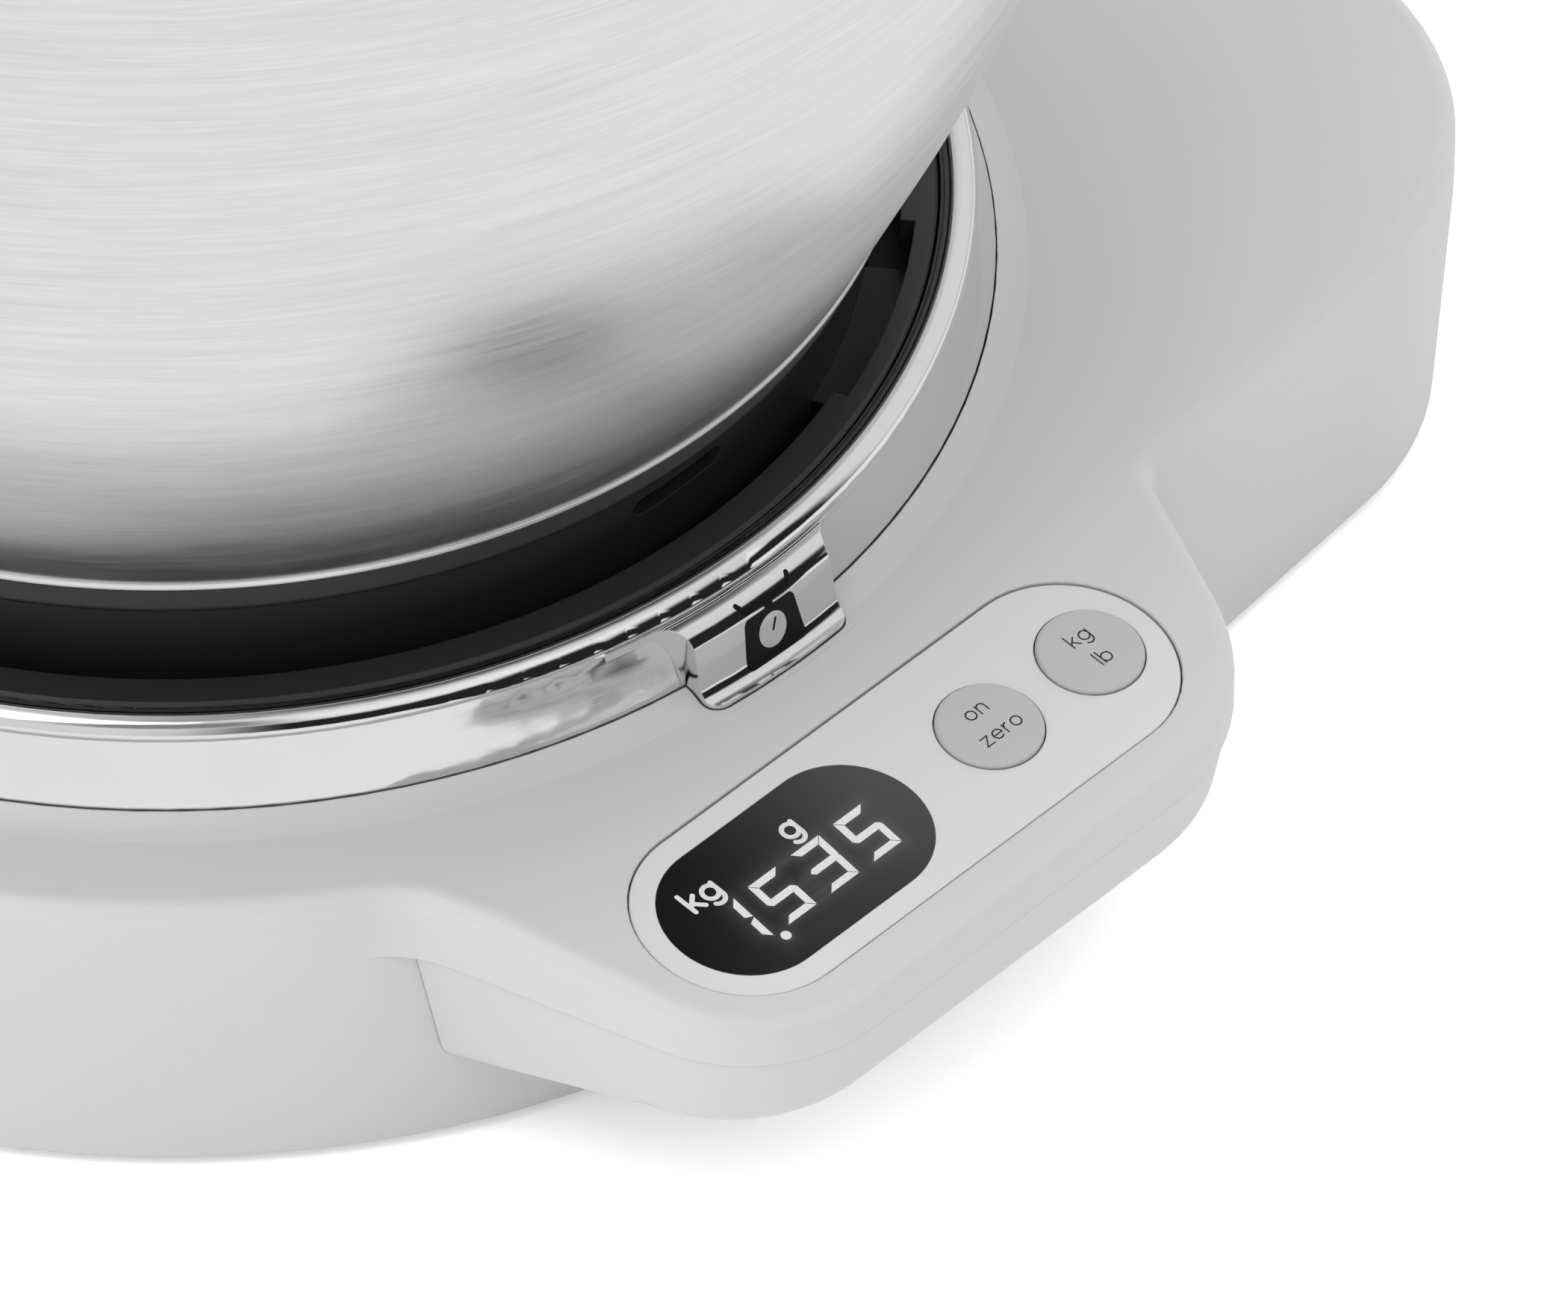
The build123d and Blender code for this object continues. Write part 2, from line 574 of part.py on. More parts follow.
def ring_retainer():
    """The plate that keeps the lock ring on the hub."""
    plate = tube(83.5, 60.0, RING_LEDGE_Z - 2.4, RING_LEDGE_Z - 0.3)
    for x, y in polar_points(HUB_SCREW_R, HUB_SCREW_ANGLES):
        plate -= tube(1.7, 0, 40, 80, (x, y))
    return plate


def retainer_screws():
    spots = polar_points(HUB_SCREW_R, HUB_SCREW_ANGLES)
    save("retainer_screws", *[Pos(x, y, RING_LEDGE_Z - 2.45) * pan_screw(9.0, 1.25) for x, y in spots])


def bowl():
    """The steel bowl: flat bottom, a bead at the foot, flaring sides and a rolled rim."""
    foot_r, foot_z = BOWL_PROFILE[0][0], BOWL_FOOT_Z
    outer = [(r, z + Z_RIM) for r, z in BOWL_PROFILE]
    inner = [(r - BOWL_T, z) for r, z in outer]
    top_r, top_z = outer[-1]
    side = Spline(*outer, tangents=((0.42, 0.91), (0.02, 1.0)))
    side_in = Spline(*inner, tangents=((0.42, 0.91), (0.02, 1.0)))
    bottom = foot_z
    outline = Wire.combine([
        Line((0, bottom), (foot_r - 1.2, bottom)),
        ThreePointArc((foot_r - 1.2, bottom), (foot_r + 0.15, bottom + 0.7), outer[0]),
        side,
        Line(outer[-1], inner[-1]),
        side_in,
        ThreePointArc(inner[0], (foot_r - 2.2, bottom + BOWL_T + 0.25), (foot_r - 4.0, bottom + BOWL_T)),
        Line((foot_r - 4.0, bottom + BOWL_T), (0, bottom + BOWL_T)),
        Line((0, bottom + BOWL_T), (0, bottom)),
    ])[0]
    shell = revolve(Plane.XZ * make_face(outline), Axis.Z)
    rim = revolve(Plane.XZ * Pos(top_r + 0.9, top_z + 0.3) * Circle(1.7), Axis.Z)
    return shell + rim


# ---------------------------------------------------------------- chrome collar


def collar():
    """The chrome collar: a rounded lip, a slightly flared wall and the tab with the scale symbol."""
    z = Z_RIM
    foot_r, foot_z = COLLAR_FOOT_R, COLLAR_FOOT_Z
    section = make_face(
        Wire.combine([
            Line((COLLAR_R, foot_z + 1.0), (COLLAR_R, z - 0.4)),
            ThreePointArc((COLLAR_R, z - 0.4), (COLLAR_R + 2.4, z + 1.1), (LIP_R, z - 1.0)),
            ThreePointArc((LIP_R, z - 1.0), (LIP_R - 0.1, z - 1.5), (WALL_TOP_R, z - 1.9)),
            ThreePointArc((WALL_TOP_R, z - 1.9), (WALL_MIDDLE_R, z - 6.45), (foot_r - 0.05, z - 11.0)),
            Line((foot_r - 0.05, z - 11.0), (foot_r, foot_z)),
            Line((foot_r, foot_z), (foot_r - 4.6, foot_z)),
            Line((foot_r - 4.6, foot_z), (foot_r - 4.6, foot_z + 1.6)),
            Line((foot_r - 4.6, foot_z + 1.6), (foot_r - 2.2, foot_z + 1.6)),
            Line((foot_r - 2.2, foot_z + 1.6), (WALL_TOP_R - 1.7, z - 2.9)),
            Line((WALL_TOP_R - 1.7, z - 2.9), (COLLAR_R + 1.6, z - 2.9)),
            Line((COLLAR_R + 1.6, z - 2.9), (COLLAR_R + 1.6, foot_z + 1.0)),
            Line((COLLAR_R + 1.6, foot_z + 1.0), (COLLAR_R, foot_z + 1.0)),
        ])[0]
    )
    ring = revolve(Plane.XZ * section, Axis.Z)
    return ring + tab()


def tab():
    """The apron at the front of the collar: a shoulder under the lip and a face that flares to the deck."""
    inner, bottom = WALL_TOP_R - 0.6, COLLAR_FOOT_Z
    section = make_face(
        Wire.combine([
            Line((inner, bottom), (inner, Z_RIM - 2.0)),
            Line((inner, Z_RIM - 2.0), (LIP_R - 0.3, Z_RIM - 2.0)),
            ThreePointArc((LIP_R - 0.3, Z_RIM - 2.0), (LIP_R + 2.3, Z_RIM - 2.7), (LIP_R + 3.6, Z_RIM - 4.4)),
            Line((LIP_R + 3.6, Z_RIM - 4.4), (LIP_R + 4.9, Z_RIM - 10.4)),
            ThreePointArc((LIP_R + 4.9, Z_RIM - 10.4), (LIP_R + 5.6, Z_RIM - 11.7), (TAB_R, TAB_Z)),
            Line((TAB_R, TAB_Z), (TAB_R, bottom)),
            Line((TAB_R, bottom), (inner, bottom)),
        ])[0]
    )
    apron = revolve(Plane.XZ * section, Axis.Z)
    apron &= extrude(Plane.XY.offset(bottom - 1) * tab_face(), 30)
    return apron & sector(TAB_R + 5, TAB_ANGLE, TAB_SPAN + 12, bottom - 1, Z_RIM)


# ---------------------------------------------------------------- control pod


def control_panel():
    """The flush panel in the pod's top, with openings for the window and the two buttons."""
    panel = stadium(PANEL_HALF, PANEL_R, -PANEL_T, 0)
    panel -= stadium(DISPLAY_HALF, DISPLAY_R + 0.05, -9, 1, u=DISPLAY_U)
    panel = fillet(panel.faces().sort_by(Axis.Z)[-1].outer_wire().edges(), GROOVE_EDGE_R)
    for u in BUTTON_U:
        panel -= in_pod(Cylinder(BUTTON_R + BUTTON_GAP, 9), u)
    for u, v in PANEL_POSTS:
        foot, head = BOARD_TOP + 0.05, -0.5
        panel += in_pod(Pos(0, 0, (foot + head) / 2) * Cylinder(2.0, head - foot), u, v)
        panel -= in_pod(Pos(0, 0, BOARD_TOP + 3.0) * Cylinder(0.9, 6.2), u, v)
    return panel


def display_window():
    return stadium(DISPLAY_HALF, DISPLAY_R, -PANEL_T, 0, u=DISPLAY_U)


def display_module():
    """The display's light box under the window."""
    return in_pod(Pos(0, 0, (BOARD_TOP - PANEL_T) / 2) * Box(30, 15, -PANEL_T - BOARD_TOP - 0.1), DISPLAY_U)


def button(u):
    """A round button cap with a collar under the panel and a stem to its switch."""
    cap = Pos(0, 0, -1.2) * Cylinder(BUTTON_R, 3.4)
    cap = fillet(cap.edges().filter_by(GeomType.CIRCLE).sort_by(Axis.Z)[-1], 0.45)
    cap += Pos(0, 0, -2.55) * Cylinder(BUTTON_R + 1.2, 0.7)
    cap += Pos(0, 0, -3.6) * Cylinder(1.8, 1.9)
    return in_pod(cap, u)


def control_board():
    """The circuit board that hangs from the panel's posts."""
    board = stadium(PANEL_HALF, PANEL_R - 3.9, BOARD_TOP - BOARD_T, BOARD_TOP)
    for u, v in PANEL_POSTS:
        board -= in_pod(Cylinder(1.3, 40), u, v)
    return board


def board_parts():
    """The switches under the buttons, the processor and the board's screws."""
    switches = []
    for u in BUTTON_U:
        body = Pos(0, 0, BOARD_TOP + 1.75) * Box(6, 6, 3.4)
        plunger = Pos(0, 0, BOARD_TOP + 3.6) * Cylinder(1.7, 0.7)
        switches.append(in_pod(body + plunger, u))
    save("button_switches", *switches)
    chip = Pos(0, 0, BOARD_TOP - BOARD_T - 0.8) * Box(10, 10, 1.5)
    save("board_processor", in_pod(chip, 2.0))
    plug = Pos(0, 0, BOARD_TOP - BOARD_T - 2.1) * Box(12, 6, 4.1)
    save("board_connector", in_pod(plug, -18.0))
    screws = []
    for u, v in PANEL_POSTS:
        screws.append(in_pod(Pos(0, 0, BOARD_TOP - BOARD_T - 0.05) * pan_screw(6.0, 0.85, 1.9, 1.3), u, v))
    save("board_screws", *screws)


def case_screws():
    """The screws that close the base and the pod, and the ones that hold the collar."""
    save("housing_screws", *[Pos(x, y, 4.95) * pan_screw(10.0, 1.15) for x, y in HOUSING_BOSSES])
    save("pod_screws", *[Pos(x, y, POD_PART_Z - 9.05) * pan_screw(9.0, 1.05) for x, y in POD_BOSSES])


def wire(points, radius, bend):
    """A lead of round section along straight runs joined by arcs."""
    path = FilletPolyline(*points, radius=bend)
    return sweep(Plane(path @ 0, z_dir=path % 0) * Circle(radius), path=path)


def leads():
    """The load cell's lead and the battery lead, which run through the wall into the pod."""
    cell = ((-2, -7.0, 16), (-2, -40, 16), (-2, -70, 14), (-8, -100, 20), (-12, -118, 30), (-14, -128, 32))
    save("load_cell_lead", wire(cell, 1.4, 9))
    supply = ((60.4, -20, 12), (53, -40, 12), (34, -70, 14), (14, -100, 20), (6, -118, 30), (0, -128, 31))
    save("battery_lead", wire(supply, 1.2, 9))


# ---------------------------------------------------------------- build

save("top_housing", top_housing())
save("pod_lower_shell", pod_lower_shell())
save("bottom_cover", bottom_cover())
save("battery_door", battery_door())
feet()
cells_and_contacts()
save("load_cell", load_cell())
load_cell_parts()
save("platform_carrier", platform_carrier())
save("seat", seat())
seat_pads()
seat_screws()
save("lock_ring", lock_ring())
save("bowl_base", bowl_base())
save("ring_retainer", ring_retainer())
retainer_screws()
save("bowl", bowl())
save("chrome_collar", collar())
save("control_panel", control_panel())
save("display_window", display_window())
save("display_module", display_module())
save("zero_button", button(BUTTON_U[0]))
save("unit_button", button(BUTTON_U[1]))
save("control_board", control_board())
board_parts()
case_screws()
leads()
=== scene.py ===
"""The look of the kitchen scale: materials, lettering, display digits, light and camera.

Metres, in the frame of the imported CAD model: Z = 0 is the table, the Z axis is the bowl's axis and the
control pod stands out towards -Y. The CAD nodes keep their shapes and get procedural materials here.
"""
import bpy
import json
import math
import numpy as np
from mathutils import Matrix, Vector
from mathutils.bvhtree import BVHTree


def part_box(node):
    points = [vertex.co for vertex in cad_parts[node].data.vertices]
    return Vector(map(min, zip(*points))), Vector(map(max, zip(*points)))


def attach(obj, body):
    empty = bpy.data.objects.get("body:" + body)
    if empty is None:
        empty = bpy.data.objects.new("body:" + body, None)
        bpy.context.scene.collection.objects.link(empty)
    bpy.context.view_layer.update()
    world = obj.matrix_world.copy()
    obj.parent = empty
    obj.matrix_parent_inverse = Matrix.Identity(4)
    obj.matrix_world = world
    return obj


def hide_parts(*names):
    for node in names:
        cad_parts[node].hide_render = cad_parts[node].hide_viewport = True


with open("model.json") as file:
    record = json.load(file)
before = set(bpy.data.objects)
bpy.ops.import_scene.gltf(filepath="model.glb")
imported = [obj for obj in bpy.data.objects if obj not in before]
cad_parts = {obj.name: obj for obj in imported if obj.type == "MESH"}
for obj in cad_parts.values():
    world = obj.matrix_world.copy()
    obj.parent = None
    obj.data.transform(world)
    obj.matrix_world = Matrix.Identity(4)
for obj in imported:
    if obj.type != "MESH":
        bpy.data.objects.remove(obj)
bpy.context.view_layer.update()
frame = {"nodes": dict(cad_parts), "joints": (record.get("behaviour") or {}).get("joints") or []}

MM = 0.001

# ---------------------------------------------------------------- material helpers


class Tree:
    """A node tree, with short calls for the nodes used here."""

    def __init__(self, tree):
        self.tree = tree
        self.tree.nodes.clear()

    def node(self, kind, **settings):
        made = self.tree.nodes.new(kind)
        for key, value in settings.items():
            setattr(made, key, value)
        return made

    def link(self, source, target):
        self.tree.links.new(source, target)

    def stretch(self, vector, scale):
        mapping = self.node("ShaderNodeMapping")
        mapping.inputs["Scale"].default_value = scale
        self.link(vector, mapping.inputs["Vector"])
        return mapping.outputs["Vector"]

    def noise(self, vector, scale, detail=3.0, rough=0.55):
        made = self.node("ShaderNodeTexNoise")
        made.inputs["Scale"].default_value = scale
        made.inputs["Detail"].default_value = detail
        made.inputs["Roughness"].default_value = rough
        self.link(vector, made.inputs["Vector"])
        return made.outputs["Fac"]

    def spread(self, value, low, high, to_low, to_high, curve="LINEAR"):
        """Maps a value's range low..high on to to_low..to_high, clamped."""
        made = self.node("ShaderNodeMapRange", interpolation_type=curve)
        for socket, number in zip(("From Min", "From Max", "To Min", "To Max"), (low, high, to_low, to_high)):
            made.inputs[socket].default_value = number
        self.link(value, made.inputs["Value"])
        return made.outputs["Result"]

    def tones(self, value, dark, light):
        """A colour between two, by a value from 0 to 1."""
        made = self.node("ShaderNodeMix", data_type="RGBA")
        made.inputs["A"].default_value = (*dark, 1.0)
        made.inputs["B"].default_value = (*light, 1.0)
        self.link(value, made.inputs["Factor"])
        return made.outputs["Result"]

    def maths(self, operation, *values):
        made = self.node("ShaderNodeMath", operation=operation)
        for index, value in enumerate(values):
            if isinstance(value, (int, float)):
                made.inputs[index].default_value = value
            else:
                self.link(value, made.inputs[index])
        return made.outputs[0]

    def between(self, value, low, high, soft):
        """1 where a value lies between two limits, with soft ends."""
        rise = self.spread(value, low - soft, low + soft, 0.0, 1.0, "SMOOTHSTEP")
        fall = self.spread(value, high - soft, high + soft, 1.0, 0.0, "SMOOTHSTEP")
        return self.maths("MULTIPLY", rise, fall)


class Graph(Tree):
    """A material's node tree round one principled shader."""

    def __init__(self, name, colour, roughness, metallic=0.0):
        self.material = bpy.data.materials.new(name)
        self.material.use_nodes = True
        super().__init__(self.material.node_tree)
        self.output = self.node("ShaderNodeOutputMaterial")
        self.shader = self.node("ShaderNodeBsdfPrincipled")
        self.link(self.shader.outputs["BSDF"], self.output.inputs["Surface"])
        self.set("Base Color", (*colour, 1.0))
        self.set("Roughness", roughness)
        self.set("Metallic", metallic)

    def set(self, socket, value):
        self.shader.inputs[socket].default_value = value

    def drive(self, socket, source):
        self.link(source, self.shader.inputs[socket])

    def place(self):
        """The piece's own coordinates, in metres."""
        return self.node("ShaderNodeTexCoord").outputs["Object"]

    def soft_edges(self, radius):
        """A normal that rounds sharp edges by a small radius."""
        made = self.node("ShaderNodeBevel", samples=4)
        made.inputs["Radius"].default_value = radius
        return made.outputs["Normal"]

    def edge_wear(self, radius):
        """1 on sharp edges and 0 on flat faces."""
        geometry = self.node("ShaderNodeNewGeometry")
        dot = self.node("ShaderNodeVectorMath", operation="DOT_PRODUCT")
        self.link(self.soft_edges(radius), dot.inputs[0])
        self.link(geometry.outputs["Normal"], dot.inputs[1])
        return self.spread(dot.outputs["Value"], 0.995, 0.85, 0.0, 1.0)

    def bump(self, height, distance, strength=1.0, normal=None):
        made = self.node("ShaderNodeBump")
        made.inputs["Distance"].default_value = distance
        made.inputs["Strength"].default_value = strength
        self.link(height, made.inputs["Height"])
        if normal is not None:
            self.link(normal, made.inputs["Normal"])
        return made.outputs["Normal"]


def grey(level, tint=0.0):
    """A neutral linear colour; tint shifts it a little towards warm."""
    return (level * (1 + tint), level, level * (1 - tint))


def moulded(name, level, roughness, grain=0.35, depth=0.012, tint=0.0, coat=0.0, edge=0.25):
    """Moulded plastic: a fine spark-eroded grain, slow tone changes and slightly polished edges."""
    g = Graph(name, grey(level, tint), roughness)
    place = g.place()
    slow = g.noise(place, 18.0, detail=2.0)
    g.drive("Base Color", g.tones(slow, grey(level * 0.975, tint), grey(level * 1.025, tint)))
    fine = g.noise(place, 1.0 / (grain * MM), detail=4.0, rough=0.6)
    worn = g.edge_wear(edge * MM)
    matt = g.spread(fine, 0.3, 0.7, roughness * 0.9, roughness * 1.1)
    g.drive("Roughness", g.maths("SUBTRACT", matt, g.maths("MULTIPLY", worn, roughness * 0.3)))
    g.drive("Normal", g.bump(fine, depth * MM, normal=g.soft_edges(edge * MM)))
    g.set("Coat Weight", coat)
    g.set("Coat Roughness", 0.12)
    return g


def rubber(name, level, roughness):
    g = moulded(name, level, roughness, grain=0.6, depth=0.03)
    g.set("Specular IOR Level", 0.3)
    return g


def turned_vector(g, around, along):
    """Coordinates that run slowly round the Z axis and fast up it, with no seam."""
    place = g.place()
    flat = g.stretch(place, (1.0, 1.0, 0.0))
    round_way = g.node("ShaderNodeVectorMath", operation="NORMALIZE")
    g.link(flat, round_way.inputs[0])
    wide = g.stretch(round_way.outputs["Vector"], (around, around, 0.0))
    high = g.stretch(place, (0.0, 0.0, along))
    both = g.node("ShaderNodeVectorMath", operation="ADD")
    g.link(wide, both.inputs[0])
    g.link(high, both.inputs[1])
    return both.outputs["Vector"]


def brushed_bowl(name):
    """Steel brushed round the bowl: long fine low-contrast scratches of several widths."""
    g = Graph(name, grey(0.72), 0.3, metallic=1.0)
    broad = g.noise(turned_vector(g, 3.0, 420.0), 1.0, detail=4.0, rough=0.6)
    fine = g.noise(turned_vector(g, 9.0, 2600.0), 1.0, detail=3.0, rough=0.6)
    streaks = g.maths("ADD", g.maths("MULTIPLY", broad, 0.5), g.maths("MULTIPLY", fine, 0.5))
    g.drive("Base Color", g.tones(g.spread(streaks, 0.36, 0.64, 0.0, 1.0), grey(0.72), grey(0.84)))
    g.drive("Roughness", g.spread(streaks, 0.35, 0.65, 0.30, 0.38))
    g.drive("Normal", g.bump(streaks, 0.012 * MM, strength=0.5))
    g.set("Anisotropic", 0.6)
    tangent = g.node("ShaderNodeTangent", direction_type="RADIAL", axis="Z")
    g.drive("Tangent", tangent.outputs["Tangent"])
    return g


def chrome(name):
    """Polished chrome plate with faint waviness and hairline polishing marks."""
    g = Graph(name, grey(0.76), 0.04, metallic=1.0)
    hair = g.noise(turned_vector(g, 30.0, 2500.0), 1.0, detail=2.0)
    wave = g.noise(g.place(), 60.0, detail=1.0)
    g.drive("Roughness", g.spread(hair, 0.3, 0.7, 0.03, 0.06))
    g.drive("Base Color", g.tones(wave, grey(0.75), grey(0.79)))
    g.drive("Normal", g.bump(wave, 0.04 * MM, strength=0.2, normal=g.soft_edges(0.25 * MM)))
    return g


def cast_metal(name, level, roughness, grain=0.5, metallic=1.0, depth=0.01):
    """Machined or drawn metal with a fine directional grain and bright edges."""
    g = Graph(name, grey(level), roughness, metallic=metallic)
    lay = g.noise(g.stretch(g.place(), (0.15, 1.0, 1.0)), 1.0 / (grain * MM), detail=3.0)
    g.drive("Base Color", g.tones(lay, grey(level * 0.88), grey(min(1.0, level * 1.1))))
    g.drive("Roughness", g.spread(lay, 0.3, 0.7, roughness * 0.8, roughness * 1.2))
    g.drive("Normal", g.bump(lay, depth * MM, normal=g.soft_edges(0.15 * MM)))
    return g


def circuit_board(name):
    """Solder-resist green with faint tracks."""
    g = Graph(name, (0.02, 0.12, 0.05), 0.35)
    tracks = g.node("ShaderNodeTexBrick")
    tracks.inputs["Scale"].default_value = 260.0
    g.link(g.place(), tracks.inputs["Vector"])
    g.drive("Base Color", g.tones(tracks.outputs["Fac"], (0.015, 0.10, 0.04), (0.03, 0.17, 0.07)))
    g.drive("Normal", g.bump(tracks.outputs["Fac"], 0.02 * MM))
    return g


def battery_label(name):
    """A plain printed sleeve: dark with one lighter band towards the positive end."""
    g = Graph(name, grey(0.03), 0.3)
    split = g.node("ShaderNodeSeparateXYZ")
    g.link(g.place(), split.inputs["Vector"])
    band = g.spread(split.outputs["Y"], 12.0 * MM, 12.2 * MM, 0.0, 1.0)
    g.drive("Base Color", g.tones(band, grey(0.03), (0.45, 0.30, 0.12)))
    fine = g.noise(g.place(), 900.0)
    g.drive("Roughness", g.spread(fine, 0.3, 0.7, 0.25, 0.35))
    return g


def ink(name, level, roughness):
    """Printed ink with a slightly uneven film."""
    g = Graph(name, grey(level), roughness)
    film = g.noise(g.place(), 3000.0, detail=2.0)
    g.drive("Base Color", g.tones(film, grey(level * 0.85), grey(level * 1.15)))
    g.drive("Roughness", g.spread(film, 0.3, 0.7, roughness * 0.85, roughness * 1.15))
    g.set("Specular IOR Level", 0.15)
    return g


def lit_segment(name):
    """A display segment that shines through the glass."""
    g = Graph(name, grey(0.12), 0.4)
    cells = g.noise(g.place(), 2200.0, detail=1.0)
    g.drive("Emission Strength", g.spread(cells, 0.3, 0.7, 0.52, 0.58))
    g.set("Emission Color", (*grey(1.0), 1.0))
    g.set("Specular IOR Level", 0.2)
    return g


def display_glass(name):
    """Smoked glass whose light leaks a little round the lit segments, with a painted sheen that brightens it
    towards one end.
    """
    g = Graph(name, grey(0.004), 0.12)
    # The attribute holds the light leaking round the bars plus a painted sheen, brighter towards one end of
    # the window.
    leak_and_painted_sheen = g.node("ShaderNodeAttribute", attribute_name="leak_and_painted_sheen")
    g.set("Emission Color", (*grey(1.0), 1.0))
    g.drive("Emission Strength", leak_and_painted_sheen.outputs["Fac"])
    smear = g.noise(g.place(), 140.0, detail=4.0)
    g.drive("Roughness", g.spread(smear, 0.3, 0.7, 0.08, 0.14))
    return g


FLOOR_GLOW = 0.22
FLOOR_MIRRORED = 0.95    # how bright the polished parts see the floor


def plain_floor(name):
    """Pale, matt studio floor, faintly lit from below as a light table is."""
    g = Graph(name, grey(0.96), 0.9)
    g.set("Emission Color", (*grey(1.0), 1.0))
    g.set("Emission Strength", FLOOR_GLOW)
    dust = g.noise(g.place(), 40.0, detail=4.0)
    g.drive("Base Color", g.tones(dust, grey(0.955), grey(0.965)))
    g.set("Specular IOR Level", 0.0)
    card = g.node("ShaderNodeEmission")
    card.inputs["Strength"].default_value = FLOOR_MIRRORED
    mix = g.node("ShaderNodeMixShader")
    g.link(g.node("ShaderNodeLightPath").outputs["Is Glossy Ray"], mix.inputs["Fac"])
    g.link(g.shader.outputs["BSDF"], mix.inputs[1])
    g.link(card.outputs["Emission"], mix.inputs[2])
    g.link(mix.outputs["Shader"], g.output.inputs["Surface"])
    return g


MATERIALS = {
    "housing_grey": moulded("housing_grey", 0.42, 0.42, grain=0.3, depth=0.008, tint=0.004),
    "cover_grey": moulded("cover_grey", 0.33, 0.50, grain=0.5, depth=0.03),
    "panel_light": moulded("panel_light", 0.475, 0.38, grain=0.3, depth=0.006, tint=0.004),
    "button_grey": moulded("button_grey", 0.345, 0.42, grain=0.35, depth=0.01, tint=0.004),
    "display_dark": display_glass("display_dark"),
    "display_box": moulded("display_box", 0.55, 0.5),
    "collar_chrome": chrome("collar_chrome"),
    "seat_black": moulded("seat_black", 0.018, 0.42, grain=0.4, depth=0.012),
    "ring_black": moulded("ring_black", 0.012, 0.38, grain=0.4, depth=0.01),
    "bowl_steel": brushed_bowl("bowl_steel"),
    "cell_aluminium": cast_metal("cell_aluminium", 0.75, 0.32),
    "screw_steel": cast_metal("screw_steel", 0.60, 0.28, grain=0.3),
    "post_plastic": moulded("post_plastic", 0.10, 0.5),
    "foot_rubber": rubber("foot_rubber", 0.03, 0.7),
    "pad_rubber": rubber("pad_rubber", 0.05, 0.65),
    "battery_wrap": battery_label("battery_wrap"),
    "contact_metal": cast_metal("contact_metal", 0.7, 0.25, grain=0.4),
    "board_green": circuit_board("board_green"),
    "chip_black": moulded("chip_black", 0.02, 0.45),
    "connector_white": moulded("connector_white", 0.72, 0.4),
    "switch_black": moulded("switch_black", 0.02, 0.4),
    "lead_grey": rubber("lead_grey", 0.25, 0.5),
}
INK = ink("legend_ink", 0.028, 0.5)
SYMBOL_INK = ink("symbol_ink", 0.004, 0.45)
LIT = lit_segment("segment_light")


def dress(node):
    """Gives a CAD node the material of its slot."""
    for slot in frame["nodes"][node].material_slots:
        slot.material = MATERIALS[slot.material.name.split(".")[0]].material


# ---------------------------------------------------------------- the panel's plane


def reach(node, direction):
    """How far a CAD node reaches along a direction."""
    return max(vertex.co.dot(direction) for vertex in frame["nodes"][node].data.vertices)


PANEL_N = -Vector(next(j["axis"] for j in frame["joints"] if j["name"] == "zero_press")).normalized()
PANEL_V = PANEL_N.cross(Vector((1, 0, 0))).normalized()
PANEL_U = Vector((1, 0, 0))


def top_centre(node):
    """The middle of a pod node's top face."""
    low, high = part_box(node)
    middle = (low + high) / 2
    return middle + PANEL_N * (reach(node, PANEL_N) - middle.dot(PANEL_N))


def on_panel(origin, u, v, lift):
    return origin + PANEL_U * u + PANEL_V * v + PANEL_N * lift


# ---------------------------------------------------------------- flat meshes


def piece(name, vertices, faces, material, body, smooth=False):
    mesh = bpy.data.meshes.new(name)
    mesh.from_pydata([tuple(v) for v in vertices], [], faces)
    mesh.validate()
    mesh.materials.append(material)
    for polygon in mesh.polygons:
        polygon.use_smooth = smooth
    made = bpy.data.objects.new(name, mesh)
    bpy.context.scene.collection.objects.link(made)
    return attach(made, body)


def arc(cx, cy, radius, start, end, steps=20):
    angles = [math.radians(start + (end - start) * i / steps) for i in range(steps + 1)]
    return [(cx + radius * math.cos(a), cy + radius * math.sin(a)) for a in angles]


# Letters as centre lines, for an x-height of 1. Each entry is (strokes, width).
LETTERS = {
    "o": ([arc(0.5, 0.5, 0.5, 0, 360, 32)], 1.0),
    "n": ([[(0, 0), (0, 1)], arc(0.42, 0.58, 0.42, 180, 0) + [(0.84, 0)]], 0.84),
    "z": ([[(0.02, 1), (0.84, 1), (0, 0), (0.88, 0)]], 0.86),
    "e": ([[(0.0, 0.5), (1.0, 0.5)] + arc(0.5, 0.5, 0.5, 0, 315, 28)], 1.0),
    "r": ([[(0, 0), (0, 1)], arc(0.5, 0.5, 0.5, 180, 95, 10)], 0.48),
    "k": ([[(0, 0), (0, 1.5)], [(0.74, 1), (0.0, 0.36)], [(0.27, 0.59), (0.82, 0)]], 0.80),
    "g": ([arc(0.5, 0.5, 0.5, 0, 360, 32), [(1.0, 1.0), (1.0, 0.0)] + arc(0.5, 0.0, 0.5, 0, -140, 16)], 1.0),
    "l": ([[(0, 0), (0, 1.5)]], 0.0),
    "b": ([[(0, 0), (0, 1.5)], arc(0.5, 0.5, 0.5, 0, 360, 32)], 1.0),
}
LETTER_GAP = 0.40


def ribbon(points, half):
    """Faces of a stroke of constant width with round ends and round corners."""
    vertices, faces = [], []
    for start, end in zip(points, points[1:]):
        along = Vector(end) - Vector(start)
        side = Vector((-along.y, along.x)).normalized() * half
        base = len(vertices)
        vertices += [Vector(start) + side, Vector(start) - side, Vector(end) - side, Vector(end) + side]
        faces.append((base, base + 1, base + 2, base + 3))
    for point in points:
        base = len(vertices)
        vertices += [Vector(p) for p in arc(point[0], point[1], half, 0, 350, 17)]
        faces.append(tuple(range(base, base + 18)))
    return vertices, faces


